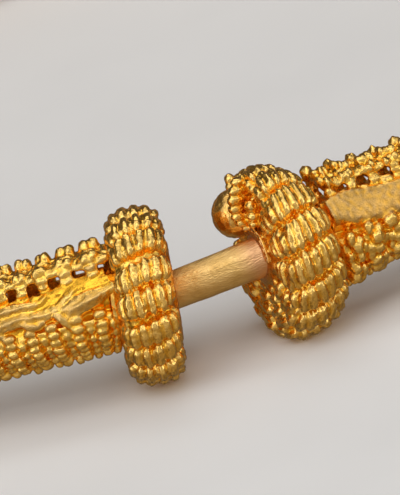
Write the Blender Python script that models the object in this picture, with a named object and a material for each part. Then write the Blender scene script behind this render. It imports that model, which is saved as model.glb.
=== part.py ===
# Gold neck torc, closed and lying flat: an openwork hoop whose ends meet in two lobed collars
# joined by a plain clasp rod. Metres, +Z up. The clasp faces -Y, and the origin is under the
# middle of the ring, on the surface that it lies on.

from math import asin, atan2, cos, pi, radians, sin, sqrt, tan, tau

import bmesh
import bpy
from mathutils import Matrix, Vector

MM = 0.001

# Hoop: its centreline is an oval, and its bar has a smooth band and two knobbed garlands
HOOP_HALF_WIDTH = 78.0 * MM
HOOP_HALF_DEPTH = 72.5 * MM
BAND_RADIUS = 5.1 * MM
COLUMN_RADIUS = 5.7 * MM
LOW_COLUMN_RADIUS = 6.4 * MM
GARLAND_RADIUS = 6.7 * MM
UPPER_KNOB_RADIUS = 7.0 * MM
GARLAND_DIP_RADIUS = 5.5 * MM
BACK_RADIUS = 4.5 * MM
KNOB_PITCH = 2.6 * MM
END_SLANT_LENGTH = 6.0 * MM
LEFT_END_RISE = 1.4 * MM
LEFT_RISE_TURN = radians(60)
LEFT_END_SWELL = 0.05
LEFT_SWELL_LENGTH = 14.0 * MM
RIGHT_END_SWELL = 0.17
RIGHT_SWELL_LENGTH = 11.0 * MM
REST_LENGTH = 3.4 * MM

# Collars: round pads of twisted lobes on either side of the clasp
LEFT_COLLAR_LENGTH = 7.7 * MM
LEFT_COLLAR_RADIUS = 11.1 * MM
RIGHT_COLLAR_LENGTH = 8.4 * MM
RIGHT_COLLAR_RADIUS = 11.9 * MM
RIGHT_COLLAR_BACK_RADIUS = 9.0 * MM
RIGHT_COLLAR_DROP = 0.5 * MM
RIGHT_BACK_SLANT = radians(6)
LOBE_DEPTH = 1.4 * MM
LEFT_LOBES = 17
RIGHT_LOBES = 15
LOBE_TWIST = radians(8)
CLASP_GAP = 10.0 * MM
FOOT_DEPTH = 0.3 * MM

# The collars stand a little askew on the hoop: leaned over, and turned towards the outside
LEFT_LEAN = radians(-9)
LEFT_TURN = radians(4)
RIGHT_LEAN = radians(9)
RIGHT_TURN = radians(11)

# Smooth boss on the right collar's clasp face
BOSS_RADIUS = 3.1 * MM
BOSS_OFFSET = 6.4 * MM
BOSS_HEIGHT_ANGLE = radians(48)

# Clasp rod, seated in a shallow socket in each collar
ROD_RADIUS = 2.25 * MM
ROD_FLARE_RADIUS = 2.5 * MM
ROD_SEAT = 2.0 * MM
CLEARANCE = 0.3 * MM

STEPS_PER_LOBE = 5
ROD_SIDES = 14

# The hoop's section, going up and over from the outer side: degrees, radius at a knob,
# radius between two knobs
SECTION = (
    (4, COLUMN_RADIUS, BAND_RADIUS),
    (37, BAND_RADIUS, BAND_RADIUS),
    (74, UPPER_KNOB_RADIUS, BAND_RADIUS),
    (117, UPPER_KNOB_RADIUS, GARLAND_DIP_RADIUS),
    (160, BACK_RADIUS, BACK_RADIUS),
    (208, BAND_RADIUS, BAND_RADIUS),
    (255, GARLAND_RADIUS, GARLAND_DIP_RADIUS),
    (287, GARLAND_RADIUS, GARLAND_DIP_RADIUS),
    (325, LOW_COLUMN_RADIUS, BAND_RADIUS),
)
LOWEST_SECTION_POINTS = (6, 7)

# A collar's profile from its clasp face back: share of its length, share of its radius, and
# how much of the lobes' depth is cut there
COLLAR_PROFILE = (
    (0.05, 0.00, 0.0),
    (0.04, 0.42, 0.0),
    (0.00, 0.62, 0.5),
    (0.06, 0.84, 1.0),
    (0.27, 0.97, 1.0),
    (0.52, 1.00, 1.0),
    (0.77, 0.96, 1.0),
    (0.95, 0.82, 1.0),
    (1.00, 0.58, 0.3),
    (1.00, 0.00, 0.0),
)


def start_clean():
    for item in list(bpy.data.objects):
        bpy.data.objects.remove(item, do_unlink=True)


def new_collection(name):
    collection = bpy.data.collections.new(name)
    bpy.context.scene.collection.children.link(collection)
    return collection


def gold(name, colour, roughness):
    material = bpy.data.materials.new(name)
    material.use_nodes = True
    surface = material.node_tree.nodes["Principled BSDF"]
    surface.inputs["Base Color"].default_value = (*colour, 1.0)
    surface.inputs["Metallic"].default_value = 1.0
    surface.inputs["Roughness"].default_value = roughness
    return material


def add_object(name, bm, collection, material=None, smooth=True):
    """Turn a bmesh into a named object; round surfaces are shaded smooth."""
    bmesh.ops.recalc_face_normals(bm, faces=bm.faces)
    if bm.calc_volume(signed=True) < 0:
        bmesh.ops.reverse_faces(bm, faces=bm.faces)
    mesh = bpy.data.meshes.new(name)
    bm.to_mesh(mesh)
    bm.free()
    if smooth:
        mesh.shade_smooth()
        mesh.set_sharp_from_angle(angle=radians(50))
    item = bpy.data.objects.new(name, mesh)
    if material:
        mesh.materials.append(material)
    collection.objects.link(item)
    return item


def hoop_speed(angle):
    """Length of centreline for each radian, at an angle round from the clasp."""
    return sqrt((HOOP_HALF_WIDTH * cos(angle)) ** 2 + (HOOP_HALF_DEPTH * sin(angle)) ** 2)


def hoop_rise(angle):
    """The hoop's left end meets its collar a little above the collar's middle."""
    share = max(0.0, 1 - abs(tau - angle) / LEFT_RISE_TURN)
    return LEFT_END_RISE * share * share * (3 - 2 * share)


def hoop_frame(angle):
    """Axes on the centreline: X along the hoop to the right of the clasp, Y inwards, Z up."""
    along = Vector((HOOP_HALF_WIDTH * cos(angle), HOOP_HALF_DEPTH * sin(angle), 0)).normalized()
    up = Vector((0, 0, 1))
    frame = Matrix((along, up.cross(along), up)).transposed().to_4x4()
    frame.translation = (HOOP_HALF_WIDTH * sin(angle), -HOOP_HALF_DEPTH * cos(angle),
                         hoop_rise(angle))
    return frame


def collar_frame(side, length, lean, turn, drop):
    """Axes at the middle of a collar's clasp face: X back along the hoop, away from the gap."""
    lower = Matrix.Translation((0, 0, -drop))
    middle_angle = side * (CLASP_GAP + length) / 2 / hoop_speed(0)
    half_turn = Matrix.Rotation(0 if side > 0 else pi, 4, "Z")
    skew = Matrix.Rotation(turn, 4, "Z") @ Matrix.Rotation(lean, 4, "Y")
    forward = Matrix.Translation((-length / 2, 0, 0))
    return lower @ hoop_frame(middle_angle) @ half_turn @ skew @ forward


def left_collar_frame():
    return collar_frame(-1, LEFT_COLLAR_LENGTH, LEFT_LEAN, LEFT_TURN, 0)


def right_collar_frame():
    return collar_frame(1, RIGHT_COLLAR_LENGTH, RIGHT_LEAN, RIGHT_TURN, RIGHT_COLLAR_DROP)


def rod_ends():
    """The middles of the two collar faces, where the rod goes in."""
    return left_collar_frame().translation, right_collar_frame().translation


def hoop_span():
    """Angles at which the hoop starts and ends: just behind the two collars."""
    right = (CLASP_GAP / 2 + RIGHT_COLLAR_LENGTH + CLEARANCE) / hoop_speed(0)
    left = (CLASP_GAP / 2 + LEFT_COLLAR_LENGTH + CLEARANCE) / hoop_speed(0)
    return right, tau - left


def hoop_angles():
    """Angles of the stations along the hoop, half a knob pitch apart."""
    start, end = hoop_span()
    count = 2000
    step = (end - start) / count
    lengths = [0.0]
    for index in range(count):
        lengths.append(lengths[-1] + hoop_speed(start + (index + 0.5) * step) * step)
    stations = 2 * round(lengths[-1] / KNOB_PITCH)
    angles = []
    index = 0
    for station in range(stations + 1):
        wanted = lengths[-1] * station / stations
        while index < count - 1 and lengths[index + 1] < wanted:
            index += 1
        share = (wanted - lengths[index]) / (lengths[index + 1] - lengths[index])
        angles.append(start + (index + share) * step)
    return angles


def collar_back(collar, length, slant):
    """Axes on the plane behind a collar where the hoop ends: a slant shortens the collar's top."""
    return collar @ Matrix.Translation((length + CLEARANCE, 0, 0)) @ Matrix.Rotation(-slant, 4, "Y")


def slant_to_collar(point, along, distance, back):
    """Slide a point near an end along the hoop, so that the end lies flat to the leaning collar."""
    fade = max(0.0, 1 - distance / END_SLANT_LENGTH)
    normal = (back.to_3x3() @ Vector((1, 0, 0))).normalized()
    shortfall = (back.translation - point).dot(normal) + distance
    return point + along * (shortfall * fade / abs(along.dot(normal)))


def end_swell(distance, length, swell):
    """The bar grows thicker towards a collar."""
    share = max(0.0, 1 - distance / length)
    return 1 + swell * share * share * (3 - 2 * share)


def section_radius(point_index, station, at_rest):
    """Radius of the bar: full at a knob, less between two knobs, full all along the rest."""
    knob, dip = SECTION[point_index][1:]
    if at_rest and point_index in LOWEST_SECTION_POINTS:
        return knob
    return knob if station % 2 else dip


def make_hoop(collection, material):
    """A straight many-sided bar, cut into stations and bent round the neck."""
    angles = hoop_angles()
    last = len(angles) - 1
    sides = len(SECTION)
    bm = bmesh.new()
    bmesh.ops.create_cone(bm, cap_ends=True, segments=sides, radius1=1, radius2=1, depth=last)
    long_edges = [e for e in bm.edges if abs(e.verts[0].co.z - e.verts[1].co.z) > last / 2]
    bmesh.ops.subdivide_edges(bm, edges=long_edges, cuts=last - 1, use_grid_fill=True)
    total = hoop_speed(pi / 4) * (angles[-1] - angles[0])
    right_back = collar_back(right_collar_frame(), RIGHT_COLLAR_LENGTH, RIGHT_BACK_SLANT)
    left_back = collar_back(left_collar_frame(), LEFT_COLLAR_LENGTH, 0)
    for vert in bm.verts:
        station = round(vert.co.z + last / 2)
        side = round(atan2(-vert.co.x, vert.co.y) / tau * sides) % sides
        angle = angles[station]
        at_rest = abs(angle - pi) * hoop_speed(pi) < REST_LENGTH / 2
        travelled = total * station / last
        left = total - travelled
        radius = section_radius(side, station, at_rest)
        radius *= end_swell(travelled, RIGHT_SWELL_LENGTH, RIGHT_END_SWELL)
        radius *= end_swell(left, LEFT_SWELL_LENGTH, LEFT_END_SWELL)
        turn = radians(SECTION[side][0])
        frame = hoop_frame(angle)
        along = frame.to_3x3() @ Vector((1, 0, 0))
        point = frame @ Vector((0, -radius * cos(turn), radius * sin(turn)))
        if travelled < END_SLANT_LENGTH:
            point = slant_to_collar(point, along, travelled, right_back)
        if left < END_SLANT_LENGTH:
            point = slant_to_collar(point, -along, left, left_back)
        vert.co = point
    return add_object("hoop", bm, collection, material)


def lobe_valley(turn, lobes):
    """0 on a lobe's crest, 1 in the valley between two lobes; a crest points straight down."""
    return 1 - abs(cos(lobes * (turn + pi / 2) / 2))


def make_collar(name, length, radii, slant, lobes, twist, collection, material):
    """A profile turned round X, then pressed in between its lobes, and its back slanted."""
    front_radius, back_radius = radii
    steps = lobes * STEPS_PER_LOBE
    bm = bmesh.new()
    verts = [bm.verts.new((share * length, 0, -reach)) for share, reach, _ in COLLAR_PROFILE]
    edges = [bm.edges.new(pair) for pair in zip(verts, verts[1:])]
    bmesh.ops.spin(bm, geom=verts + edges, axis=(1, 0, 0), cent=(0, 0, 0), angle=tau,
                   steps=steps, use_merge=True)
    bmesh.ops.remove_doubles(bm, verts=bm.verts, dist=0.001 * MM)
    depths = {(round(share, 3), round(reach, 3)): cut for share, reach, cut in COLLAR_PROFILE}
    for vert in bm.verts:
        reach = sqrt(vert.co.y ** 2 + vert.co.z ** 2)
        share = vert.co.x / length
        turn = atan2(vert.co.z, vert.co.y)
        cut = depths[(round(share, 3), round(reach, 3))] * LOBE_DEPTH
        radius = reach * (front_radius + (back_radius - front_radius) * share)
        radius -= cut * lobe_valley(turn, lobes)
        turn += twist * (share - 0.5)
        height = radius * sin(turn)
        vert.co = (share * (length - height * tan(slant)), radius * cos(turn), height)
    return add_object(name, bm, collection, material)


def rod_blank(name, radius, flare_radius, margin, collection, material=None):
    """A tapered round bar from seat to seat, longer than the rod by a margin at each end."""
    left, right = rod_ends()
    direction = (right - left).normalized()
    length = (right - left).length + 2 * (ROD_SEAT + margin)
    bm = bmesh.new()
    bmesh.ops.create_cone(bm, cap_ends=True, segments=ROD_SIDES, radius1=radius,
                          radius2=flare_radius, depth=length)
    item = add_object(name, bm, collection, material)
    item.rotation_mode = "QUATERNION"
    item.rotation_quaternion = direction.to_track_quat("Z", "Y")
    item.location = (left + right) / 2
    return item


def make_boss(collection):
    """The smooth round boss, on the side of the right collar's face towards the neck."""
    bm = bmesh.new()
    bmesh.ops.create_uvsphere(bm, u_segments=14, v_segments=9, radius=BOSS_RADIUS)
    item = add_object("boss_blank", bm, collection)
    across = BOSS_OFFSET * cos(BOSS_HEIGHT_ANGLE)
    height = BOSS_OFFSET * sin(BOSS_HEIGHT_ANGLE)
    item.matrix_world = right_collar_frame() @ Matrix.Translation((0, across, height))
    return item


def hide_cutter(item):
    item.hide_render = True
    item.display_type = "WIRE"


def combine(item, other, operation):
    modifier = item.modifiers.new(other.name, "BOOLEAN")
    modifier.operation = operation
    modifier.object = other
    modifier.solver = "EXACT"


def lowest(piece, front=-1.0):
    """Height of the lowest point of a piece, looking only behind a certain depth."""
    points = [piece.matrix_world @ vert.co for vert in piece.data.vertices]
    return min(point.z for point in points if point.y > front)


def cut_below_surface(piece):
    """Plane off what reaches below the surface: the small worn flats that the torc rests on."""
    to_piece = piece.matrix_world.inverted()
    bm = bmesh.new()
    bm.from_mesh(piece.data)
    bmesh.ops.bisect_plane(bm, geom=bm.verts[:] + bm.edges[:] + bm.faces[:],
                           plane_co=to_piece.translation,
                           plane_no=to_piece.to_3x3() @ Vector((0, 0, -1)), clear_outer=True)
    rim = [edge for edge in bm.edges if edge.is_boundary]
    bmesh.ops.holes_fill(bm, edges=rim)
    bm.to_mesh(piece.data)
    bm.free()


def rest_on_surface(torc, hoop, left_collar, right_collar):
    """Tilt the flat hoop until both collars and its back meet the surface."""
    bpy.context.view_layer.update()
    front_low = max(lowest(left_collar), lowest(right_collar))
    back_low = lowest(hoop, HOOP_HALF_DEPTH / 2)
    tilt = asin((back_low - front_low) / (2 * HOOP_HALF_DEPTH))
    torc.rotation_euler.x = -tilt
    torc.location.z = -FOOT_DEPTH - front_low - HOOP_HALF_DEPTH * sin(tilt)
    bpy.context.view_layer.update()
    for piece in (hoop, left_collar, right_collar):
        cut_below_surface(piece)


def centre_on_origin(torc, pieces):
    """Move the torc sideways so that the middle of its box is over the origin."""
    depsgraph = bpy.context.evaluated_depsgraph_get()
    points = []
    for piece in pieces:
        mesh = piece.evaluated_get(depsgraph).to_mesh()
        points += [piece.matrix_world @ vert.co for vert in mesh.vertices]
    for axis in (0, 1):
        values = [point[axis] for point in points]
        torc.location[axis] -= (min(values) + max(values)) / 2


def main():
    start_clean()
    parts = new_collection("gold_torc")
    cutters = new_collection("cutters")
    torc = bpy.data.objects.new("torc", None)
    parts.objects.link(torc)

    cast_gold = gold("cast_gold", (0.83, 0.55, 0.16), 0.3)
    lobed_gold = gold("lobed_gold", (0.85, 0.57, 0.18), 0.28)
    burnished_gold = gold("burnished_gold", (0.86, 0.66, 0.32), 0.34)

    hoop = make_hoop(parts, cast_gold)
    left_collar = make_collar("left_collar", LEFT_COLLAR_LENGTH,
                              (LEFT_COLLAR_RADIUS, LEFT_COLLAR_RADIUS), 0, LEFT_LOBES,
                              LOBE_TWIST, parts, lobed_gold)
    left_collar.matrix_world = left_collar_frame()
    right_collar = make_collar("right_collar", RIGHT_COLLAR_LENGTH,
                               (RIGHT_COLLAR_RADIUS, RIGHT_COLLAR_BACK_RADIUS),
                               RIGHT_BACK_SLANT, RIGHT_LOBES, -LOBE_TWIST, parts, lobed_gold)
    right_collar.matrix_world = right_collar_frame()
    clasp_rod = rod_blank("clasp_rod", ROD_RADIUS, ROD_FLARE_RADIUS, 0, parts, burnished_gold)

    socket = rod_blank("socket_cutter", ROD_RADIUS + CLEARANCE, ROD_FLARE_RADIUS + CLEARANCE,
                       CLEARANCE, cutters)
    boss = make_boss(cutters)
    combine(right_collar, boss, "UNION")
    for item in (left_collar, right_collar):
        combine(item, socket, "DIFFERENCE")
    for item in (socket, boss):
        hide_cutter(item)

    pieces = (hoop, left_collar, right_collar, clasp_rod)
    for item in pieces + (socket, boss):
        item.parent = torc
    rest_on_surface(torc, hoop, left_collar, right_collar)
    centre_on_origin(torc, pieces)


main()
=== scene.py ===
# Gold neck torc: the finish and fine relief of the hoop, the two lobed collars and the clasp
# rod, on a pale floor, seen from close to the clasp. Pieces are shaped in millimetres and set
# in place in metres.
import random
from collections import namedtuple
from math import atan2, copysign, cos, degrees, pi, radians, sin, tan, tau

import bmesh
import bpy
import numpy as np
from mathutils import Matrix, Vector, noise


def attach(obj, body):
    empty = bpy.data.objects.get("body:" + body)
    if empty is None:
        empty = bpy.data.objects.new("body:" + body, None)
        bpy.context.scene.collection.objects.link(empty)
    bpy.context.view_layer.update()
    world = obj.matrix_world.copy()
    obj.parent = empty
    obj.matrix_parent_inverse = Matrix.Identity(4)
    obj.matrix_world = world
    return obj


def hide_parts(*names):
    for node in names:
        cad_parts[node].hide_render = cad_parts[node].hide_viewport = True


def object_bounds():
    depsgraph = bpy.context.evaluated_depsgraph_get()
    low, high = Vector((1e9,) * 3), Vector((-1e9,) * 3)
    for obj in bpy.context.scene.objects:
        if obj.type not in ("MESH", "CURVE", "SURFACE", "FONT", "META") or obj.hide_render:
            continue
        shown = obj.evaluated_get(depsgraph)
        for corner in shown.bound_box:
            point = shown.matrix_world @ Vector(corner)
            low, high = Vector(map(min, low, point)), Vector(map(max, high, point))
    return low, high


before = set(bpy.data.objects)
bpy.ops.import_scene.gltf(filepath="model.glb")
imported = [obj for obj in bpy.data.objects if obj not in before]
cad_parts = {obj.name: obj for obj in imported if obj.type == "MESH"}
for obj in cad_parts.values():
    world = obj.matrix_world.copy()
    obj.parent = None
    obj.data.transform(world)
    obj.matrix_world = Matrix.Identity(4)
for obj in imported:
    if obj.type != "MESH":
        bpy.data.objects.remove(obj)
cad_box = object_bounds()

MM = 0.001

# The ring, as the solids have it, in millimetres and turns
HOOP_HALF_WIDTH = 78.0
HOOP_HALF_DEPTH = 72.5
CLASP_GAP = 10.0
CLEARANCE = 0.3
END_SLANT_LENGTH = 6.0
LEFT_LENGTH = 7.7
RIGHT_LENGTH = 8.4
RIGHT_DROP = 0.5
RIGHT_BACK_SLANT = radians(6)
LEFT_LEAN = radians(-9)
LEFT_TURN = radians(4)
RIGHT_LEAN = radians(9)
RIGHT_TURN = radians(11)
LEFT_LOBES = 17
RIGHT_LOBES = 15
LEFT_TWIST = radians(-8)
RIGHT_TWIST = radians(-13)
ROD_RADIUS = 2.25
ROD_FLARE_RADIUS = 2.5
ROD_SEAT = 2.0
RING_TILT = radians(-1.746)
RING_CENTRE = Vector((0.001, 2.453, 8.381))
LEFT_END_RISE = 1.4
LEFT_RISE_TURN = radians(60)
LEFT_END_SWELL = 0.05
LEFT_SWELL_LENGTH = 14.0
RIGHT_END_SWELL = 0.17
RIGHT_SWELL_LENGTH = 11.0

# The hoop's relief
KNOB_PITCH = 2.6
RIGHT_KNOB_PITCH = 2.95
SECTION_SCALE = 1.07
CORE_RADIUS = 3.1
LEFT_BAND_RADIUS = 4.3
RIGHT_BAND_RADIUS = 4.85
RIGHT_BAND_DROP = 10.5
BAND_LOWEST = 4.5
BAND_HIGHEST = 5.4
UNDERSIDE_RADIUS = 4.75
UNDERSIDE_TURN = -34
INNER_BAND_RADIUS = 4.6
INNER_BAND_TURN = 208
FRONT_STRETCH = 20.8
FRONT_REACH = 60.0      # the front's relief has faded out this far from a collar
FRONT_FADE = 35.0
REAR_STRETCHES = 4
OVERLAP = 0.35

# How finely a piece is cast: its voxels, the steps along its core, the rounds of averaging that
# find its hollows, and the most triangles that it may have
Grade = namedtuple("Grade", "voxel core_step reach most")
FRONT_GRADE = Grade(0.13, 0.4, 14, 170000)
REAR_GRADE = Grade(0.30, 1.0, 5, 55000)
COLLAR_GRADE = Grade(0.125, None, 14, 170000)
HOLLOW_DEPTH = 0.22
GRAIN_POWER = 0.85      # how blunt a grain is, and a rib: see add_blunt
RIB_POWER = 0.72
CAST_GRAIN = 0.6
HOOP_UNEVENNESS = 0.09
COLLAR_UNEVENNESS = 0.08


# The ring's own axes

def ring_matrix():
    return Matrix.Translation(RING_CENTRE) @ Matrix.Rotation(RING_TILT, 4, "X")


def hoop_speed(angle):
    """Length of centreline for each radian, at an angle round from the clasp."""
    return np.hypot(HOOP_HALF_WIDTH * np.cos(angle), HOOP_HALF_DEPTH * np.sin(angle))


def hoop_frame(angle):
    """Axes on the centreline: X along the hoop to the right of the clasp, Y inwards, Z up."""
    along = Vector((HOOP_HALF_WIDTH * cos(angle), HOOP_HALF_DEPTH * sin(angle), 0)).normalized()
    up = Vector((0, 0, 1))
    place = Matrix((along, up.cross(along), up)).transposed().to_4x4()
    place.translation = (HOOP_HALF_WIDTH * sin(angle), -HOOP_HALF_DEPTH * cos(angle), 0)
    return place


def collar_frame(side, length, lean, turn, drop):
    """Axes at the middle of a collar's clasp face: X back along the hoop, away from the gap."""
    middle_angle = side * (CLASP_GAP + length) / 2 / HOOP_HALF_WIDTH
    half_turn = Matrix.Rotation(0 if side > 0 else pi, 4, "Z")
    skew = Matrix.Rotation(turn, 4, "Z") @ Matrix.Rotation(lean, 4, "Y")
    lower = Matrix.Translation((0, 0, -drop))
    to_face = Matrix.Translation((-length / 2, 0, 0))
    return lower @ hoop_frame(middle_angle) @ half_turn @ skew @ to_face


def collar_back(collar, length, slant):
    """Axes on the plane behind a collar where the hoop ends: a slant shortens the collar's top."""
    behind = Matrix.Translation((length + CLEARANCE, 0, 0))
    return collar @ behind @ Matrix.Rotation(-slant, 4, "Y")


LEFT_FRAME = collar_frame(-1, LEFT_LENGTH, LEFT_LEAN, LEFT_TURN, 0)
RIGHT_FRAME = collar_frame(1, RIGHT_LENGTH, RIGHT_LEAN, RIGHT_TURN, RIGHT_DROP)
LEFT_BACK = collar_back(LEFT_FRAME, LEFT_LENGTH, 0)
RIGHT_BACK = collar_back(RIGHT_FRAME, RIGHT_LENGTH, RIGHT_BACK_SLANT)


def hoop_table():
    """Angles round the ring, and the length of bar from the right collar to each of them."""
    start = (CLASP_GAP / 2 + RIGHT_LENGTH + CLEARANCE) / HOOP_HALF_WIDTH
    end = tau - (CLASP_GAP / 2 + LEFT_LENGTH + CLEARANCE) / HOOP_HALF_WIDTH
    angles = np.linspace(start, end, 4001)
    middles = (angles[1:] + angles[:-1]) / 2
    lengths = np.concatenate(([0.0], np.cumsum(hoop_speed(middles) * np.diff(angles))))
    return angles, lengths


ANGLES, LENGTHS = hoop_table()
HOOP_LENGTH = float(LENGTHS[-1])


# Mesh helpers

def eased(share):
    """A share from 0 to 1, made to start and end softly."""
    return share * share * (3 - 2 * share)


def as_mesh(bm, name):
    mesh = bpy.data.meshes.new(name)
    bm.to_mesh(mesh)
    bm.free()
    return mesh


def add_part(bm, part):
    """Add one bmesh to another, and free it."""
    mesh = as_mesh(part, "part")
    bm.from_mesh(mesh)
    bpy.data.meshes.remove(mesh)


def unit_tube(sides, rings):
    """A capped tube along Z, of radius 1, with its rings of points 1 apart."""
    part = bmesh.new()
    bmesh.ops.create_cone(part, cap_ends=True, segments=sides, radius1=1, radius2=1, depth=rings)
    long_edges = [e for e in part.edges if abs(e.verts[0].co.z - e.verts[1].co.z) > rings / 2]
    bmesh.ops.subdivide_edges(part, edges=long_edges, cuts=rings - 1, use_grid_fill=True)
    return part


def mesh_points(mesh):
    flat = np.empty(len(mesh.vertices) * 3)
    mesh.vertices.foreach_get("co", flat)
    return flat.reshape(-1, 3)


def set_mesh_points(mesh, points):
    mesh.vertices.foreach_set("co", np.ascontiguousarray(points, dtype=np.float32).ravel())
    mesh.update()


def point_normals(mesh):
    flat = np.empty(len(mesh.vertices) * 3)
    mesh.vertex_normals.foreach_get("vector", flat)
    return flat.reshape(-1, 3)


def averaged(mesh, points, rounds):
    """Points moved towards their neighbours' mean, again and again."""
    ends = np.empty(len(mesh.edges) * 2, dtype=np.int64)
    mesh.edges.foreach_get("vertices", ends)
    first, second = ends[0::2], ends[1::2]
    count = len(points)
    neighbours = np.bincount(first, minlength=count) + np.bincount(second, minlength=count)
    neighbours = np.maximum(neighbours, 1)[:, None]
    for _ in range(rounds):
        total = np.empty_like(points)
        for axis in range(3):
            total[:, axis] = np.bincount(first, points[second, axis], count)
            total[:, axis] += np.bincount(second, points[first, axis], count)
        points = (points + total / neighbours) / 2
    return points


def paint(mesh, name, values):
    layer = mesh.attributes.new(name, "FLOAT", "POINT")
    layer.data.foreach_set("value", np.clip(values, 0, 1).astype(np.float32))


def paint_recess(mesh, reach):
    """Mark hollows: 0.5 on an even surface, 1 deep in a crevice, 0 on a proud tip."""
    points = mesh_points(mesh)
    sunk = averaged(mesh, points, reach) - points
    paint(mesh, "recess", 0.5 + (sunk * point_normals(mesh)).sum(axis=1) / HOLLOW_DEPTH)


def with_modifiers(mesh, *settings):
    """The mesh after modifiers, each given as its type and its settings."""
    item = bpy.data.objects.new(mesh.name + "_before", mesh)
    bpy.context.scene.collection.objects.link(item)
    for kind, values in settings:
        modifier = item.modifiers.new(kind.lower(), kind)
        for key, value in values.items():
            setattr(modifier, key, value)
    depsgraph = bpy.context.evaluated_depsgraph_get()
    made = bpy.data.meshes.new_from_object(item.evaluated_get(depsgraph))
    bpy.data.objects.remove(item)
    bpy.data.meshes.remove(mesh)
    return made


def roughen(mesh, amount):
    """Slight unevenness, as wax and casting leave."""
    points = mesh_points(mesh)
    shifts = np.array([noise.noise_vector(Vector(point) / CAST_GRAIN) for point in points])
    set_mesh_points(mesh, points + shifts * amount)


def cast_together(bm, name, grade, smoothing, unevenness):
    """Fuse overlapping shapes into one cast skin, as wax melts together, and mark its hollows."""
    mesh = with_modifiers(
        as_mesh(bm, name),
        ("REMESH", {"mode": "VOXEL", "voxel_size": grade.voxel, "use_smooth_shade": True}),
        ("SMOOTH", {"factor": 0.5, "iterations": smoothing}))
    roughen(mesh, unevenness)
    paint_recess(mesh, grade.reach)
    return mesh


def keep_in_box(mesh):
    """Wear off what stands out of the solids' own box, below and at the sides."""
    low, high = cad_box
    set_mesh_points(mesh, np.clip(mesh_points(mesh), low, high))


def thinned(mesh, most):
    """The mesh with its evener places simplified, down to so many triangles."""
    count = sum(len(face.vertices) - 2 for face in mesh.polygons)
    mesh = with_modifiers(mesh, ("DECIMATE", {"ratio": min(1.0, most / count)}))
    keep_in_box(mesh)
    return mesh


def set_on_surface(mesh, place):
    """Set a mesh in its place on the ring, in metres, worn flat where it meets the surface."""
    mesh.transform(Matrix.Diagonal((MM, MM, MM, 1)) @ ring_matrix() @ place)
    keep_in_box(mesh)


def finish_piece(mesh, name, material, node):
    """Make a mesh in metres into a piece that rides on the torc and stands for a solid."""
    mesh.materials.clear()
    mesh.materials.append(material)
    mesh.shade_smooth()
    item = bpy.data.objects.new(name, mesh)
    bpy.context.scene.collection.objects.link(item)
    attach(item, "root")
    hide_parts(node)


# Hoop

def on_bar(along, turn, radius):
    """A point of the straight bar: turn is in degrees, up and over from the outer side."""
    return Vector((along, -radius * cos(radians(turn)), radius * sin(radians(turn))))


def add_blunt(bm, matrix, power):
    """A rounded lump, nearer to a box the smaller the power."""
    for vert in bmesh.ops.create_icosphere(bm, subdivisions=2, radius=1)["verts"]:
        vert.co = matrix @ Vector([copysign(abs(value) ** power, value) for value in vert.co])


def grain(bm, place, turn, size, lean=0.0):
    """One grain of wax: size is half its length along the bar, round it, and outwards."""
    outward = Matrix.Rotation(radians(turn), 4, "X")
    flip = Matrix.Rotation(lean, 4, "Y")
    shape = Matrix.Diagonal((size[0], size[2], size[1], 1))
    add_blunt(bm, Matrix.Translation(place) @ outward.inverted() @ flip @ shape, GRAIN_POWER)


class Hand:
    """A maker's unsteady hand: small seeded changes of place and size."""

    def __init__(self, seed, spread=1.0):
        self.dice = random.Random(seed)
        self.spread = spread

    def near(self, value, spread):
        return value + self.dice.uniform(-spread, spread) * self.spread

    def set_grain(self, bm, along, turn, radius, size):
        wobble = self.near(1, 0.07)
        grown = [value * self.near(wobble, 0.06) for value in size]
        turn = self.near(turn, 2.0)
        place = on_bar(self.near(along, 0.07), turn, self.near(radius, 0.06))
        grain(bm, place, turn, grown, self.near(0, 0.15))

    def set_knob(self, bm, along, turn, radius, size=(0.46, 0.7, 0.72), ribs=3):
        """A blocky knob of ribs side by side along the bar."""
        for index in range(ribs):
            shift = (index - (ribs - 1) / 2) * size[0] * 1.35
            self.set_grain(bm, along + shift, self.near(turn, 2), radius, size)


def upper_garland(bm, hand, pitch):
    """Two rows of blocky knobs on a roof and posts, with see-through gaps between the posts."""
    for turn, radius in ((54, 3.7), (60, 4.2), (66, 4.7)):
        hand.set_grain(bm, 0, turn, radius, (0.82, 0.55, 0.55))
    for turn, radius in ((128, 3.4), (123, 4.0), (119, 4.6)):
        hand.set_grain(bm, 0, turn, radius, (0.72, 0.52, 0.5))
    for turn in (73, 83, 93, 103, 113):
        hand.set_grain(bm, 0, turn, 5.05, (0.95, 0.68, 0.66))
        hand.set_grain(bm, pitch / 2, turn, 4.95, (0.95, 0.66, 0.5))
    hand.set_grain(bm, pitch / 2, 46, 3.9, (0.95, 0.6, 0.6))
    hand.set_knob(bm, -0.1, 77, 5.35, (0.58, 0.72, 0.62), 2)
    hand.set_knob(bm, 0.1, 104, 5.6, (0.64, 0.9, 0.86), 2)


def lower_garland(bm, hand, pitch):
    """Columns of stacked ribs hanging from the band, and a row of pendant grains between them."""
    for turn, radius in ((-1, 4.7), (-11, 4.95), (-21, 5.1), (-31, 5.25), (-41, 5.35), (-51, 5.4)):
        hand.set_grain(bm, 0, turn, radius, (0.78, 0.48, 0.56))
        hand.set_grain(bm, 0, turn - 4, radius - 0.5, (0.66, 0.6, 0.7))
    hand.set_grain(bm, 0, -63, 5.45, (0.82, 0.72, 0.76))
    for turn, radius in ((-20, 4.75), (-33, 4.85), (-46, 4.95)):
        hand.set_grain(bm, pitch / 2, turn, radius, (0.5, 0.55, 0.42))
    hand.set_grain(bm, pitch / 2, -58, 5.1, (0.56, 0.6, 0.6))
    hand.set_grain(bm, pitch / 2, -71, 5.5, (0.6, 0.75, 0.8))
    hand.set_grain(bm, 0, -84, 4.7, (0.75, 0.65, 0.6))
    hand.set_grain(bm, pitch / 2, -84, 4.7, (0.75, 0.65, 0.6))


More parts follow.
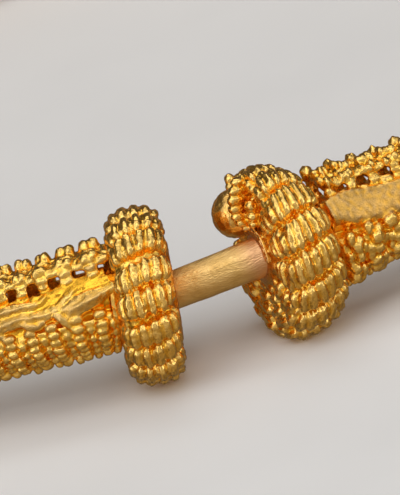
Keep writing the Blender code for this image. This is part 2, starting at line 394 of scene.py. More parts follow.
def inner_chain(bm, hand, pitch):
    """The plainer neck side: one row of knobs below, one line of grains above."""
    for step in (-1, 0, 1):
        hand.set_grain(bm, step * pitch / 3, 255, 5.0, (0.56, 0.5, 0.5))
        hand.set_grain(bm, step * pitch / 3, 157, 3.7, (0.5, 0.45, 0.5))
    for radius in (3.6, 4.3):
        hand.set_grain(bm, 0, 256, radius, (0.55, 0.5, 0.5))
    hand.set_knob(bm, 0, 255, 5.6, (0.6, 0.7, 0.7), 2)


def peg_garland(bm, hand, pitch):
    """The same two rows beside the right collar: ribbed barrels with faceted pegs behind."""
    for turn, radius in ((58, 3.9), (64, 4.4), (71, 4.8)):
        hand.set_grain(bm, 0.1, turn, radius, (0.85, 0.6, 0.55))
    for turn, radius in ((128, 3.4), (122, 4.1), (117, 4.8)):
        hand.set_grain(bm, -0.2, turn, radius, (0.75, 0.5, 0.55))
    for turn in (76, 87, 98, 109):
        hand.set_grain(bm, 0, turn, 4.95, (0.95, 0.7, 0.6))
        hand.set_grain(bm, pitch / 2, turn, 4.9, (1.0, 0.7, 0.5))
    hand.set_grain(bm, pitch / 2, 55, 4.2, (0.9, 0.6, 0.6))
    hand.set_knob(bm, 0.05, 75, 5.2, (0.46, 0.62, 0.6), 3)
    hand.set_knob(bm, 0.3, 93, 5.5, (0.5, 0.8, 0.75), 3)
    peg = Matrix.Translation(on_bar(-0.55, 110, 5.55)) @ Matrix.Rotation(-radians(110), 4, "X")
    turned = (Matrix.Rotation(hand.near(0.4, 0.5), 4, "X")
              @ Matrix.Rotation(hand.near(0, 0.4), 4, "Y"))
    bmesh.ops.create_icosphere(bm, subdivisions=1, radius=1,
                               matrix=peg @ turned @ Matrix.Diagonal((0.95, 1.05, 0.95, 1)))


def clustered_garland(bm, hand, pitch):
    """Looser clusters of grains below the band beside the right collar."""
    for turn, radius in ((0, 4.8), (-13, 5.0), (-26, 5.15), (-39, 5.3), (-52, 5.4), (-65, 5.45)):
        side = 0.36 if (turn // 2) % 2 else -0.36
        hand.set_grain(bm, side, turn, radius, (0.86, 0.68, 0.7))
        hand.set_grain(bm, -side * 2.4, turn - 7, radius - 0.15, (0.58, 0.6, 0.6))
        hand.set_grain(bm, 0, turn, radius - 0.8, (0.7, 0.7, 0.7))
    for turn, radius in ((-20, 4.8), (-46, 5.0), (-70, 5.3)):
        hand.set_grain(bm, pitch / 2, turn, radius, (0.6, 0.6, 0.5))


def garland_unit(seed, pitch, upper=upper_garland, lower=lower_garland, spread=1.0):
    """One pitch of the garlands as a mesh of its own."""
    bm = bmesh.new()
    hand = Hand(seed, spread)
    upper(bm, hand, pitch)
    lower(bm, hand, pitch)
    inner_chain(bm, hand, pitch)
    return as_mesh(bm, "garland_unit")


def turn_between(turn, middle):
    """How far round the bar one turn is from another, in degrees, the shorter way."""
    return abs((turn - middle + 180) % 360 - 180)


def hump(turn, middle, half_width, edge=14.0):
    """1 within half_width of the middle, falling smoothly to 0 beyond; all in degrees."""
    away = turn_between(turn, middle)
    return eased(min(max((half_width + edge - away) / edge, 0), 1))


def near_clasp(along):
    """1 on the two arms by the clasp, falling to 0 towards the back of the ring."""
    to_collar = np.minimum(along, HOOP_LENGTH - along)
    return np.clip((FRONT_REACH - to_collar) / FRONT_FADE, 0, 1)


def band_middle(along):
    """The smooth band's place round the bar, in degrees: it winds a little up and down."""
    if along < RIGHT_BAND_DROP:
        middle = 31 + 9 * cos(along / RIGHT_BAND_DROP * pi)
    elif along < HOOP_LENGTH / 2:
        middle = 25.5 - 3.5 * cos((along - RIGHT_BAND_DROP) * tau / 40)
    else:
        middle = 26 + 11 * cos((HOOP_LENGTH - along) * tau / 30)
    behind = 26 + 6 * cos((along - HOOP_LENGTH / 2) * tau / 34)
    near = near_clasp(along)
    return near * middle + (1 - near) * behind


def band_half_width(along):
    """Half the smooth band's width, in degrees: narrow at the right collar, wide at the left."""
    if along < HOOP_LENGTH / 2:
        return 5 + 14 * min(1.0, (along + 0.8) / 3.5)
    return 15 + 12 * max(0.0, 1 - (HOOP_LENGTH - along) / 14)


def core_radius(along, turn):
    near = near_clasp(along)
    band = hump(turn, band_middle(along), band_half_width(along), 14 + 8 * near)
    underside = hump(turn, UNDERSIDE_TURN, 26)
    inner = hump(turn, INNER_BAND_TURN, 26)
    crest = LEFT_BAND_RADIUS
    if along < HOOP_LENGTH / 2:
        crest += (RIGHT_BAND_RADIUS - LEFT_BAND_RADIUS) * near
    return max(CORE_RADIUS + (crest - CORE_RADIUS) * band,
               CORE_RADIUS + (UNDERSIDE_RADIUS - 0.5 * (1 - near) - CORE_RADIUS) * underside,
               CORE_RADIUS + (INNER_BAND_RADIUS - CORE_RADIUS) * inner)


def add_core(bm, start, end, step):
    """The bar under the garlands, swollen where the smooth bands run."""
    rings = max(2, round((end - start) / step))
    part = unit_tube(60, rings)
    for vert in part.verts:
        along = start + (end - start) * (vert.co.z / rings + 0.5)
        turn = degrees(atan2(vert.co.y, vert.co.x))
        vert.co = on_bar(along, turn, core_radius(along, turn))
    bmesh.ops.recalc_face_normals(part, faces=part.faces)
    add_part(bm, part)


def smooth_path(points, step):
    """Points along a soft curve through a few given ones (each a Vector)."""
    path = []
    padded = [points[0]] + list(points) + [points[-1]]
    for before, start, end, after in zip(padded, padded[1:], padded[2:], padded[3:]):
        count = max(1, int((end - start).length / step))
        for index in range(count):
            t = index / count
            path.append(0.5 * (2 * start + (end - before) * t
                               + (2 * before - 5 * start + 4 * end - after) * t * t
                               + (3 * start - before - 3 * end + after) * t ** 3))
    path.append(points[-1])
    return path


def tendril(stops):
    """A rounded ridge on the band: its half thickness, then (along, turn in degrees, radius)."""
    bm = bmesh.new()
    thick = stops[0]
    path = smooth_path([on_bar(*stop) for stop in stops[1:]], 0.22)
    last = len(path) - 1
    for index, place in enumerate(path):
        radius = thick * (0.6 + 0.4 * sin(pi * min(1, 0.15 + index / last)))
        matrix = Matrix.Translation(place) @ Matrix.Diagonal((radius, radius, radius, 1))
        bmesh.ops.create_icosphere(bm, subdivisions=1, radius=1, matrix=matrix)
    return bm


# Ridges of the band beside the left collar: half thickness, then places on them as distance
# from the collar, turn and radius
LEFT_TENDRILS = (
    (1.15, (20.5, 24, 3.9), (17.0, 15, 4.0), (13.6, 15, 4.05), (10.2, 20, 4.1), (7.6, 17, 4.1),
     (5.5, 20, 4.1), (4.4, 32, 4.0), (3.5, 42, 3.9), (2.9, 51, 3.8)),
    (0.75, (15.0, 33, 4.1), (11.8, 37, 4.3), (9.1, 37, 4.3), (7.5, 36, 4.2), (6.3, 44, 4.1)),
    (1.3, (5.2, 12, 3.8), (3.9, 16, 3.95), (2.2, 20, 4.0), (0.8, 25, 4.0), (-0.5, 30, 4.0)),
    (0.7, (20.5, 40, 4.1), (17.6, 34, 4.2), (15.2, 42, 4.2), (13.8, 56, 4.1)),
    (0.6, (9.6, 18, 4.5), (9.0, 10, 4.65), (8.0, 6, 4.7), (7.2, 10, 4.65)),
    (0.6, (5.6, 14, 4.5), (5.0, 4, 4.7), (4.6, -4, 4.8)),
    (0.6, (13.4, 14, 4.5), (12.6, 6, 4.65), (11.9, 0, 4.75)),
)


def placed_tendrils():
    for thick, *stops in LEFT_TENDRILS:
        yield (thick, *((HOOP_LENGTH - left, turn, radius) for left, turn, radius in stops))


def copy_units(bm, units, start, end, pitch):
    """Garland units side by side along a stretch of bar."""
    count = round((end - start) / pitch)
    for index in range(count):
        unit = units[index % len(units)]
        move = Matrix.Translation((start + (index + 0.5) * (end - start) / count, 0, 0))
        unit.transform(move)
        bm.from_mesh(unit)
        unit.transform(move.inverted())


def end_swell(distance, length, swell):
    """The bar grows thicker towards a collar."""
    return 1 + swell * eased(np.clip(1 - distance / length, 0, 1))


def bend_round_neck(mesh):
    """Bend the straight bar round the ring, its ends cut flat to the leaning collars."""
    points = mesh_points(mesh)
    along, inward, up = points.T
    angle = np.interp(along, LENGTHS, ANGLES)
    tangent = np.stack((HOOP_HALF_WIDTH * np.cos(angle), HOOP_HALF_DEPTH * np.sin(angle),
                        np.zeros(len(angle))), axis=1)
    tangent /= np.linalg.norm(tangent, axis=1)[:, None]
    inner = np.stack((-tangent[:, 1], tangent[:, 0], np.zeros(len(angle))), axis=1)
    centre = np.stack((HOOP_HALF_WIDTH * np.sin(angle), -HOOP_HALF_DEPTH * np.cos(angle),
                       np.zeros(len(angle))), axis=1)
    rise = np.clip(1 - (tau - angle) / LEFT_RISE_TURN, 0, 1)
    scale = SECTION_SCALE * end_swell(along, RIGHT_SWELL_LENGTH, RIGHT_END_SWELL)
    scale *= end_swell(HOOP_LENGTH - along, LEFT_SWELL_LENGTH, LEFT_END_SWELL)
    bent = centre + inner * (inward * scale)[:, None]
    bent[:, 2] = up * scale + LEFT_END_RISE * eased(rise)
    for back, way, distance in ((RIGHT_BACK, 1, along), (LEFT_BACK, -1, HOOP_LENGTH - along)):
        normal = np.array((back.to_3x3() @ Vector((1, 0, 0))).normalized())
        fade = np.clip(1 - distance / END_SLANT_LENGTH, 0, 1)
        shortfall = (np.array(back.translation) - bent) @ normal + distance
        shift = shortfall * fade / np.abs(tangent @ normal)
        bent += tangent * (way * shift)[:, None]
    set_mesh_points(mesh, bent)
    set_on_surface(mesh, Matrix())


def paint_band(mesh):
    """Mark the smooth worn bands on the straight bar, darker on the right arm as painted shade,
    and paint shade into the hollows between the ridges.
    """
    along, inward, up = mesh_points(mesh).T
    turns = np.degrees(np.arctan2(up, -inward))
    radii = np.hypot(inward, up)
    halves = np.array([band_half_width(value) for value in along])
    away = turn_between(turns, np.array([band_middle(value) for value in along]))
    right = near_clasp(along) * (along < HOOP_LENGTH / 2)
    outer_band = np.clip((halves + 12 - away) / 14, 0, 1)
    outer_band *= np.clip((radii - BAND_LOWEST) / 0.5, 0, 1)
    # Painted shade as well as wear: the band colour goes on at full strength on the right arm and
    # at half on the left, so the right arm's band is darker, as for the shade it takes there.
    outer_band *= 0.5 + 0.5 * right
    inner_band = np.clip((30 - turn_between(turns, INNER_BAND_TURN)) / 10, 0, 1)
    under_knobs = np.clip((BAND_HIGHEST - radii) / 0.3, 0, 1)
    paint(mesh, "band", np.maximum(outer_band, inner_band) * under_knobs)
    # Painted shade: the hollows between the left band's ridges get the deep orange hollow colour,
    # as for shade and gold mirroring gold there.
    between = np.clip((4.62 - radii) / 0.2, 0, 1) * np.clip((halves + 26 - away) / 6, 0, 1)
    recess = np.empty(len(along), dtype=np.float32)
    layer = mesh.attributes["recess"]
    layer.data.foreach_get("value", recess)
    recess = np.maximum(recess, (1 - right) * between)
    layer.data.foreach_set("value", recess.astype(np.float32))


def make_stretch(name, start, end, units, pitch, grade, material, tendrils=()):
    """One stretch of the hoop, from start to end along the bar."""
    bm = bmesh.new()
    add_core(bm, start - OVERLAP * (start > 0), end + OVERLAP * (end < HOOP_LENGTH - OVERLAP),
             grade.core_step)
    copy_units(bm, units, start, end, pitch)
    for stops in tendrils:
        add_part(bm, tendril(stops))
    mesh = cast_together(bm, name, grade, 2, HOOP_UNEVENNESS)
    paint_band(mesh)
    bend_round_neck(mesh)
    finish_piece(thinned(mesh, grade.most), name, material, "hoop")


def rear_tendrils(start, end):
    """Plainer ridges that go on round the ring, one every two pitches."""
    every = 2 * KNOB_PITCH
    for index in range(int((end - start) / every)):
        at = start + index * every
        middle = band_middle(at)
        yield (0.55, (at, middle - 16, 4.3), (at + 2.2, middle - 6, 4.45),
               (at + 4.2, middle + 12, 4.4), (at + 5.4, middle + 30, 4.2))


def make_hoop(material):
    left_units = [garland_unit(seed, KNOB_PITCH) for seed in (3, 5, 8, 11, 14)]
    right_units = [garland_unit(seed, RIGHT_KNOB_PITCH, peg_garland, clustered_garland, 1.6)
                   for seed in (21, 24, 27, 31, 35)]
    make_stretch("hoop_right_front", 0, FRONT_STRETCH, right_units, RIGHT_KNOB_PITCH,
                 FRONT_GRADE, material)
    make_stretch("hoop_left_front", HOOP_LENGTH - FRONT_STRETCH, HOOP_LENGTH, left_units,
                 KNOB_PITCH, FRONT_GRADE, material, placed_tendrils())
    span = (HOOP_LENGTH - 2 * FRONT_STRETCH) / REAR_STRETCHES
    for index in range(REAR_STRETCHES):
        low = FRONT_STRETCH + index * span
        make_stretch(f"hoop_rear_{index + 1}", low, low + span, left_units, KNOB_PITCH,
                     REAR_GRADE, material, rear_tendrils(low, low + span))


# Collars: profiles are (x, radius), with x back from the clasp face

LEFT_RIB_PATH = ((0.45, 6.6), (0.15, 7.9), (0.3, 9.1), (0.9, 10.1), (2.0, 10.8), (3.9, 11.0),
                 (5.7, 10.65), (6.9, 9.7), (7.4, 8.2), (7.4, 6.6))
LEFT_BODY = ((1.2, 0), (1.2, 2.6), (0.3, 3.4), (0.1, 4.6), (0.1, 5.9), (0.6, 6.8), (0.8, 7.8),
             (1.3, 8.7), (2.3, 9.3), (3.9, 9.5), (5.7, 9.2), (6.8, 8.2), (7.1, 6.2), (7.4, 5.2),
             (7.98, 4.8), (7.98, 0))
RIGHT_RIB_PATH = ((0.3, 9.3), (0.95, 10.3), (2.2, 10.95), (3.9, 10.8), (5.6, 10.25), (7.1, 9.4),
                  (8.05, 8.1), (8.3, 6.6))
RIGHT_FACE_PATH = ((0.4, 3.7), (0.2, 4.9), (0.1, 6.3), (0.15, 7.8), (0.4, 9.2))
RIGHT_BODY = ((0.2, 0), (0.2, 2.9), (0.5, 3.5), (0.9, 4.6), (1.3, 6.6), (1.6, 8.6), (2.4, 9.4),
              (4.1, 9.4), (5.8, 8.8), (7.1, 8.0), (7.8, 6.8), (8.1, 5.6), (8.68, 5.4), (8.68, 0))
LEFT_RIB_PITCH = 1.6
RIB_PITCH = 1.5
FACE_LOBES = 11
FACE_RIB_PITCH = 1.65
BOSS_RADIUS = 3.0
BOSS_OFFSET = 6.4
BOSS_ANGLE = radians(48)
WIRE_SINK = 0.3
WIRE_HALF_WIDTH = 0.15

# Ribs stacked beside the boss and grains twisted down to the rod: x, y inwards, z up in the
# collar's axes, and half width
BOSS_STACK = ((-0.3, 1.2, 9.5, 0.95), (-0.8, 1.1, 8.5, 1.05), (-1.1, 1.0, 7.45, 1.1),
              (-1.2, 1.0, 6.4, 1.05), (-1.1, 0.95, 5.4, 0.95), (-0.8, 0.8, 4.5, 0.8),
              (-0.3, 0.6, 3.8, 0.6))
BOSS_GRAINS = ((-0.6, 2.6, 8.6, 0.85), (-0.5, 3.0, 9.4, 0.75), (0.2, -0.6, 4.4, 0.7),
               (0.2, -0.8, 5.5, 0.8), (0.2, -0.7, 6.7, 0.85))
# Larger masses behind them, which fill the hollow of the face: place and half sizes
BOSS_FILL = (((0.9, 1.9, 7.4), (1.1, 1.3, 2.6)), ((0.7, 1.0, 5.0), (0.9, 1.4, 1.6)))
# Thin wires wound over the rod's joint: radius round the rod
JOINT_WIRES = (2.85, 3.3, 3.8)


def profile_walk(points, pitch):
    """Places and outward directions at even steps along a collar's profile."""
    path = smooth_path([Vector((x, r, 0)) for x, r in points], 0.05)
    walked = [0.0]
    for before, after in zip(path, path[1:]):
        walked.append(walked[-1] + (after - before).length)
    count = round(walked[-1] / pitch)
    index = 0
    for step in range(count + 1):
        wanted = walked[-1] * step / count
        while index < len(path) - 2 and walked[index + 1] < wanted:
            index += 1
        direction = (path[index + 1] - path[index]).normalized()
        yield path[index], Vector((-direction.y, direction.x, 0)), step / count


def add_rib(bm, place, outward, turn, size, lean):
    """A rice-grain rib across a lobe; place and outward are (x, radius) in the profile."""
    tip = Matrix.Rotation(atan2(outward.y, outward.x) - pi / 2, 4, "Z")
    base = Matrix.Translation((place.x, place.y, 0)) @ tip @ Matrix.Rotation(lean, 4, "Y")
    shape = Matrix.Diagonal((size[0], size[2], size[1], 1))
    add_blunt(bm, Matrix.Rotation(turn, 4, "X") @ base @ shape, RIB_POWER)


def add_turned(bm, points):
    """A profile of (x, radius) turned round X."""
    part = bmesh.new()
    verts = [part.verts.new((x, r, 0)) for x, r in points]
    edges = [part.edges.new(pair) for pair in zip(verts, verts[1:])]
    bmesh.ops.spin(part, geom=verts + edges, axis=(1, 0, 0), cent=(0, 0, 0), angle=tau, steps=120,
                   use_merge=True)
    bmesh.ops.remove_doubles(part, verts=part.verts, dist=0.001)
    bmesh.ops.recalc_face_normals(part, faces=part.faces)
    add_part(bm, part)


def add_lobes(bm, hand, path, length, lobes, twist, rib_pitch, proud, shift=0.0, ends=0.7):
    """Twisted lobes along a profile of (x, radius): barrel ribs with a thin wire between two."""
    places = list(profile_walk(path, rib_pitch / 2))
    for lobe in range(lobes):
        unit = bmesh.new()
        middle = -pi / 2 + tau * (lobe + shift) / lobes + hand.near(0, 0.035)
        swell = hand.near(1, 0.07)
        for step, (place, outward, share) in enumerate(places):
            turn = middle + twist * (place.x / length - 0.5) + hand.near(0, 0.012)
            taper = min(1.0, ends + 4 * share, ends + 4 * (1 - share))
            half_width = place.y * pi / lobes * 0.88 * swell * taper
            high = min(proud, half_width) * 0.9
            if step % 2:
                sunk = place - outward * (high + WIRE_SINK)
                add_rib(unit, sunk, outward, turn, (WIRE_HALF_WIDTH, half_width * 0.93, high), 0)
                continue
            sunk = place - outward * high
            size = (rib_pitch * hand.near(0.41, 0.03), half_width * hand.near(1, 0.05),
                    high * hand.near(1, 0.05))
            add_rib(unit, sunk, outward, turn, size, hand.near(0, 0.12))
            core = place - outward * (high + 0.5)
            add_rib(unit, core, outward, turn, (rib_pitch * 0.9, half_width * 0.8, high), 0)
        add_part(bm, unit)


def add_boss_cluster(bm, hand):
    for x, inward, up, size in BOSS_STACK:
        grown = Matrix.Diagonal((size, size * 0.75, size * hand.near(0.56, 0.04), 1))
        add_blunt(bm, Matrix.Translation((x, inward, up)) @ grown, 0.8)
    for x, inward, up, size in BOSS_GRAINS:
        grown = Matrix.Diagonal((size, size, size * hand.near(0.9, 0.2), 1))
        bmesh.ops.create_icosphere(bm, subdivisions=2, radius=1,
                                   matrix=Matrix.Translation((x, inward, up)) @ grown)
    for radius in JOINT_WIRES:
        for step in range(45):
            around = radians(60 + 2.6 * step)
            place = Vector((0.05, radius * cos(around), radius * sin(around)))
            bmesh.ops.create_icosphere(bm, subdivisions=1, radius=0.2,
                                       matrix=Matrix.Translation(place))
    for place, size in BOSS_FILL:
        bmesh.ops.create_icosphere(bm, subdivisions=3, radius=1,
                                   matrix=Matrix.Translation(place) @ Matrix.Diagonal((*size, 1)))


def make_left_collar(material):
    bm = bmesh.new()
    add_turned(bm, LEFT_BODY)
    add_lobes(bm, Hand(101), LEFT_RIB_PATH, LEFT_LENGTH, LEFT_LOBES, LEFT_TWIST,
              LEFT_RIB_PITCH, 1.4)
    mesh = cast_together(bm, "left_collar_detail", COLLAR_GRADE, 1, COLLAR_UNEVENNESS)
    back = mesh_points(mesh)[:, 0]
    paint(mesh, "band", np.clip((0.45 - back) / 0.3, 0, 1))
    set_on_surface(mesh, LEFT_FRAME)
    mesh = thinned(mesh, COLLAR_GRADE.most)
    finish_piece(mesh, "left_collar_detail", material, "left_collar")


def make_right_collar(material):
    bm = bmesh.new()
    add_turned(bm, RIGHT_BODY)
    add_lobes(bm, Hand(202), RIGHT_RIB_PATH, RIGHT_LENGTH, RIGHT_LOBES, RIGHT_TWIST,
              RIB_PITCH, 1.4)
    add_lobes(bm, Hand(203, 1.5), RIGHT_FACE_PATH, RIGHT_LENGTH, FACE_LOBES, RIGHT_TWIST,
              FACE_RIB_PITCH, 1.3, 0.3)
    add_boss_cluster(bm, Hand(204))
    boss = Vector((0.0, BOSS_OFFSET * cos(BOSS_ANGLE), BOSS_OFFSET * sin(BOSS_ANGLE)))
    bmesh.ops.create_icosphere(bm, subdivisions=5, radius=BOSS_RADIUS,
                               matrix=Matrix.Translation(boss))
    mesh = cast_together(bm, "right_collar_detail", COLLAR_GRADE, 1, COLLAR_UNEVENNESS)
    points = mesh_points(mesh)
    away = np.linalg.norm(points - np.array(boss), axis=1)
    joint = np.hypot(points[:, 1], points[:, 2]) + 2 * np.maximum(points[:, 0] - 0.6, 0)
    paint(mesh, "band", np.maximum(0.35 * np.clip((BOSS_RADIUS + 0.15 - away) / 0.1, 0, 1),
                                   np.clip((4.2 - joint) / 1.2, 0, 1)))
    points[:, 0] *= 1 - points[:, 2] * tan(RIGHT_BACK_SLANT) / RIGHT_LENGTH
    set_mesh_points(mesh, points)
    set_on_surface(mesh, RIGHT_FRAME)
    mesh = thinned(mesh, COLLAR_GRADE.most)
    finish_piece(mesh, "right_collar_detail", material, "right_collar")


# Clasp rod

SOLDER_STAIN = 2.6
ROD_RINGS = 150


def rod_ends():
    return LEFT_FRAME.translation, RIGHT_FRAME.translation


def rod_radius(share, turn, length):
    """The rod's radius: eight soft hammered faces and a slight flare."""
    at = share * length
    radius = ROD_RADIUS + (ROD_FLARE_RADIUS - ROD_RADIUS) * share
    radius += 0.05 * abs(cos(4 * turn + 0.3 * sin(at * 0.5))) - 0.03
    return radius + 0.05 * noise.noise(Vector((at * 0.45, 2 * cos(turn), 2 * sin(turn))))


def make_rod(material):
    left, right = rod_ends()
    direction = (right - left).normalized()
    length = (right - left).length + 2 * ROD_SEAT
    bm = unit_tube(96, ROD_RINGS)
    for vert in bm.verts:
        share = vert.co.z / ROD_RINGS + 0.5
        turn = atan2(vert.co.y, vert.co.x)
        radius = rod_radius(share, turn, length)
        vert.co = (radius * cos(turn), radius * sin(turn), (share - 0.5) * length)
    mesh = as_mesh(bm, "clasp_rod_detail")
    from_joint = length / 2 - ROD_SEAT - mesh_points(mesh)[:, 2]
    paint(mesh, "solder", 0.7 * np.clip(1 - from_joint / SOLDER_STAIN, 0, 1) ** 1.5)
    stand = direction.to_track_quat("Z", "Y").to_matrix().to_4x4()
    stand.translation = (left + right) / 2
    set_on_surface(mesh, stand)
    finish_piece(mesh, "clasp_rod_detail", material, "clasp_rod")


# Finishes

# The hollow colour is partly soil in the hollows, partly painted shade and painted glow of gold
# mirroring gold.
HOOP_GOLD = {"Rubbed": (0.96, 0.61, 0.16, 1), "Hollow Patina And Shade": (0.92, 0.47, 0.04, 1),
             # The hoop's band colour is darker than its wear alone, as painted shade on the right
             # arm's band.
             "Band Wear And Shade": (0.56, 0.36, 0.17, 1), "Roughness": 0.11, "Band Roughness": 0.42}
COLLAR_GOLD = {"Rubbed": (0.96, 0.61, 0.17, 1), "Hollow Patina And Shade": (0.92, 0.47, 0.04, 1),
               "Band Wear And Shade": (0.88, 0.50, 0.24, 1), "Roughness": 0.10, "Band Roughness": 0.24}
PIT_COLOUR = (0.22, 0.11, 0.04, 1)
SOLDER_RED = (0.82, 0.42, 0.24, 1)
GRAIN_DEPTH = 0.00008
SCRATCH_DEPTH = 0.00011


def set_inputs(tree, inputs, values):
    """Set each input, by its name or number, to a plain value, or link it from a socket."""
    for key, value in values.items():
        if isinstance(value, bpy.types.NodeSocket):
            tree.links.new(value, inputs[key])
        else:
            inputs[key].default_value = value


def add_node(tree, kind, values, **settings):
    node = tree.nodes.new("ShaderNode" + kind)
    for key, value in settings.items():
        setattr(node, key, value)
    set_inputs(tree, node.inputs, values)
    return node


def noise_texture(tree, place, scale, detail):
    values = {"Vector": place, "Scale": scale, "Detail": detail}
    return add_node(tree, "TexNoise", values).outputs["Fac"]


def painted(tree, name):
    """What was painted on the mesh's points under this name."""
    return add_node(tree, "Attribute", {}, attribute_name=name).outputs["Fac"]


def calculate(tree, operation, *values):
    return add_node(tree, "Math", dict(enumerate(values)), operation=operation).outputs[0]


def map_range(tree, value, low, high, new_low=0, new_high=1):
    values = {"Value": value, "From Min": low, "From Max": high,
              "To Min": new_low, "To Max": new_high}
    return add_node(tree, "MapRange", values).outputs[0]


def mix_colours(tree, share, first, second):
    values = {0: share, 6: first, 7: second}
    return add_node(tree, "Mix", values, data_type="RGBA").outputs[2]


def mix_values(tree, share, first, second):
    return add_node(tree, "Mix", {0: share, 2: first, 3: second}).outputs[0]


def bump(tree, height, strength, distance):
    values = {"Height": height, "Strength": strength, "Distance": distance}
    return add_node(tree, "Bump", values).outputs["Normal"]


def ramp(tree, share, stops):
    node = add_node(tree, "ValToRGB", {"Fac": share})
    elements = node.color_ramp.elements
    for place, _ in stops[1:-1]:
        elements.new(place)
    for element, (place, colour) in zip(elements, stops):
        element.position = place
        element.color = (*colour, 1)
    return node.outputs["Color"]


def object_place(tree):
    return add_node(tree, "TexCoord", {}).outputs["Object"]


def new_material(name, metallic, looks):
    """A material whose surface looks are made in its node tree by the function looks."""
    material = bpy.data.materials.new(name)
    material.use_nodes = True
    tree = material.node_tree
    values = {"Metallic": metallic, **looks(tree)}
    set_inputs(tree, tree.nodes["Principled BSDF"].inputs, values)
    return material


def gold_group():
    """Colour and roughness of old gold: pale where it is rubbed, and deep orange in hollows, which
    is partly soil and partly painted shade and painted glow of gold mirroring gold.
    """
    tree = bpy.data.node_groups.new("old_gold_and_hollow_shade", "ShaderNodeTree")
    for name in ("Rubbed", "Hollow Patina And Shade", "Band Wear And Shade"):
        tree.interface.new_socket(name, in_out="INPUT", socket_type="NodeSocketColor")
    for name in ("Roughness", "Band Roughness"):
        tree.interface.new_socket(name, in_out="INPUT", socket_type="NodeSocketFloat")
    tree.interface.new_socket("Color", in_out="OUTPUT", socket_type="NodeSocketColor")
    for name in ("Roughness", "Height"):
        tree.interface.new_socket(name, in_out="OUTPUT", socket_type="NodeSocketFloat")
    given = tree.nodes.new("NodeGroupInput").outputs
    place = object_place(tree)
    band = painted(tree, "band")

    blotch = noise_texture(tree, place, 450, 4)
    # Painted shade: the hollows' mark, with random blotches, sets how much of the deep orange
    # hollow colour goes on. It stands for shade and for gold mirroring gold.
    depth = calculate(tree, "ADD", painted(tree, "recess"),
                      calculate(tree, "MULTIPLY_ADD", blotch, 0.3, -0.15))
    # The band colour: wear, and on the hoop painted shade too.
    wear_and_shade = mix_colours(tree, band, given["Rubbed"], given["Band Wear And Shade"])
    pits = map_range(tree, noise_texture(tree, place, 7500, 2), 0.50, 0.60, 0, 0.75)
    pitted = mix_colours(tree, calculate(tree, "MULTIPLY", pits, band), wear_and_shade, PIT_COLOUR)
    rough = mix_values(tree, band, given["Roughness"], given["Band Roughness"])
    set_inputs(tree, tree.nodes.new("NodeGroupOutput").inputs, {
        "Color": mix_colours(tree, map_range(tree, depth, 0.30, 0.78), pitted, given["Hollow Patina And Shade"]),
        "Roughness": calculate(tree, "MULTIPLY_ADD", blotch, 0.12, rough),
        "Height": noise_texture(tree, place, 4200, 3)})
    return tree


def cast_gold(name, group, tints, relief):
    def looks(tree):
        gold = add_node(tree, "Group", tints, node_tree=group).outputs
        return {"Base Color": gold["Color"], "Roughness": gold["Roughness"],
                "Normal": bump(tree, gold["Height"], relief, GRAIN_DEPTH)}
    return new_material(name, 1, looks)


def rod_looks(tree):
    """Hammered and burnished gold, scratched lengthwise, copper-red at the solder."""
    place = object_place(tree)
    stretched = add_node(tree, "Mapping", {"Vector": place, "Scale": (1300, 6500, 6500)})
    scratches = noise_texture(tree, stretched.outputs[0], 1, 5)
    tint = ramp(tree, noise_texture(tree, place, 700, 5),
                ((0.3, (0.84, 0.52, 0.17)), (0.6, (0.95, 0.62, 0.23))))
    return {"Base Color": mix_colours(tree, painted(tree, "solder"), tint, SOLDER_RED),
            "Roughness": ramp(tree, scratches, ((0.35, (0.28,) * 3), (0.65, (0.40,) * 3))),
            "Normal": bump(tree, scratches, 1, SCRATCH_DEPTH)}


def floor_looks(tree):
    mottle = noise_texture(tree, object_place(tree), 30, 2)
    return {"Roughness": 0.8, "Base Color": ramp(tree, mottle, ((0.3, (0.83, 0.82, 0.81)),
                                                                (0.7, (0.87, 0.86, 0.85))))}


# Setting

# Light all round the torc, by degrees from the front, up and over to the back, and how warm it is
ROUND_LIGHT = ((-180, 0.14, 0.8), (-140, 0.16, 1.0), (-100, 0.26, 1.0), (-38, 0.36, 0.9),
               (-16, 0.50, 0.5), (34, 0.60, 0.1), (48, 0.84, 0), (92, 0.84, 0), (112, 0.24, 0.5),
               (132, 0.10, 0.8), (180, 0.14, 0.8))

# Softboxes, all aimed at the clasp: name, place in metres, width, height and power
SOFTBOXES = (("high", (-0.12, -0.42, 0.62), 0.50, 0.26, 0.6),
             ("left", (-0.55, -0.48, 0.28), 0.26, 0.42, 0.5),
             ("right", (0.52, -0.46, 0.24), 0.24, 0.42, 0.45),
             ("behind", (0.10, 0.30, 0.70), 0.60, 0.24, 0.8))
CLASP_PLACE = Vector((0, -0.07, 0.01))

IMAGE_WIDTH = 400
IMAGE_HEIGHT = 495
PIXELS_PER_MM = 8.4
CAMERA_DISTANCE = 1500.0
CAMERA_ELEVATION = radians(22)
CAMERA_AZIMUTH = radians(0)
CAMERA_ROLL = radians(19.3)
ROD_MIDDLE_PIXEL = (216, 274)
SENSOR_WIDTH = 36.0


def make_floor():
    bm = bmesh.new()
    bmesh.ops.create_grid(bm, x_segments=1, y_segments=1, size=1.5)
    mesh = as_mesh(bm, "floor")
    mesh.materials.append(new_material("pale_floor", 0, floor_looks))
    floor = bpy.data.objects.new("floor", mesh)
    bpy.context.scene.collection.objects.link(floor)
    floor.visible_glossy = False


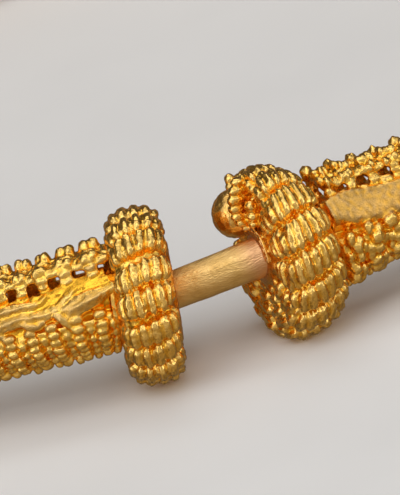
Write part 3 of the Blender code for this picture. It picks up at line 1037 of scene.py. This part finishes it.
def set_surroundings():
    """A soft room, bright above the front and dark behind, for the gold to mirror."""
    world = bpy.data.worlds.new("studio")
    bpy.context.scene.world = world
    world.use_nodes = True
    tree = world.node_tree
    place = add_node(tree, "TexCoord", {}).outputs["Generated"]
    split = add_node(tree, "SeparateXYZ", {0: place}).outputs
    front = calculate(tree, "MULTIPLY", split["Y"], -1)
    around = map_range(tree, calculate(tree, "ARCTAN2", split["Z"], front), -pi, pi)
    stops = [((turn + 180) / 360, (light, light * (1 - 0.22 * warm), light * (1 - 0.5 * warm)))
             for turn, light, warm in ROUND_LIGHT]
    patches = map_range(tree, noise_texture(tree, place, 3.5, 1), 0.35, 0.65, 0.45, 1.45)
    set_inputs(tree, tree.nodes["Background"].inputs,
               {"Color": ramp(tree, around, stops), "Strength": patches})


def add_lights():
    for name, place, width, height, power in SOFTBOXES:
        light = bpy.data.lights.new(name, "AREA")
        light.shape = "RECTANGLE"
        light.size = width
        light.size_y = height
        light.energy = power
        item = bpy.data.objects.new(name, light)
        item.location = place
        aim = CLASP_PLACE - Vector(place)
        item.rotation_euler = aim.to_track_quat("-Z", "Y").to_euler()
        bpy.context.scene.collection.objects.link(item)


def add_camera():
    """The camera looks at the clasp from a little above, rolled, with a long lens."""
    left, right = rod_ends()
    middle = ring_matrix() @ ((left + right) / 2)
    toward = Vector((-sin(CAMERA_AZIMUTH) * cos(CAMERA_ELEVATION),
                     -cos(CAMERA_AZIMUTH) * cos(CAMERA_ELEVATION), sin(CAMERA_ELEVATION)))
    turn = toward.to_track_quat("Z", "Y").to_matrix() @ Matrix.Rotation(-CAMERA_ROLL, 3, "Z")
    right_way = turn @ Vector((1, 0, 0))
    up_way = turn @ Vector((0, 1, 0))
    across = (IMAGE_WIDTH / 2 - ROD_MIDDLE_PIXEL[0]) / PIXELS_PER_MM
    above = (ROD_MIDDLE_PIXEL[1] - IMAGE_HEIGHT / 2) / PIXELS_PER_MM
    place = middle + toward * CAMERA_DISTANCE + right_way * across + up_way * above
    data = bpy.data.cameras.new("camera")
    data.sensor_fit = "HORIZONTAL"
    data.sensor_width = SENSOR_WIDTH
    data.lens = SENSOR_WIDTH * CAMERA_DISTANCE * PIXELS_PER_MM / IMAGE_WIDTH
    data.clip_start = 0.01
    data.clip_end = 20
    camera = bpy.data.objects.new("camera", data)
    camera.matrix_world = Matrix.LocRotScale(place * MM, turn, None)
    bpy.context.scene.collection.objects.link(camera)
    bpy.context.scene.camera = camera


def main():
    bpy.context.scene.view_settings.view_transform = "Standard"
    group = gold_group()
    hoop_gold = cast_gold("hoop_gold", group, HOOP_GOLD, 0.6)
    collar_gold = cast_gold("collar_gold", group, COLLAR_GOLD, 0.5)
    make_hoop(hoop_gold)
    make_left_collar(collar_gold)
    make_right_collar(collar_gold)
    make_rod(new_material("rod_gold", 1, rod_looks))
    make_floor()
    set_surroundings()
    add_lights()
    add_camera()


main()
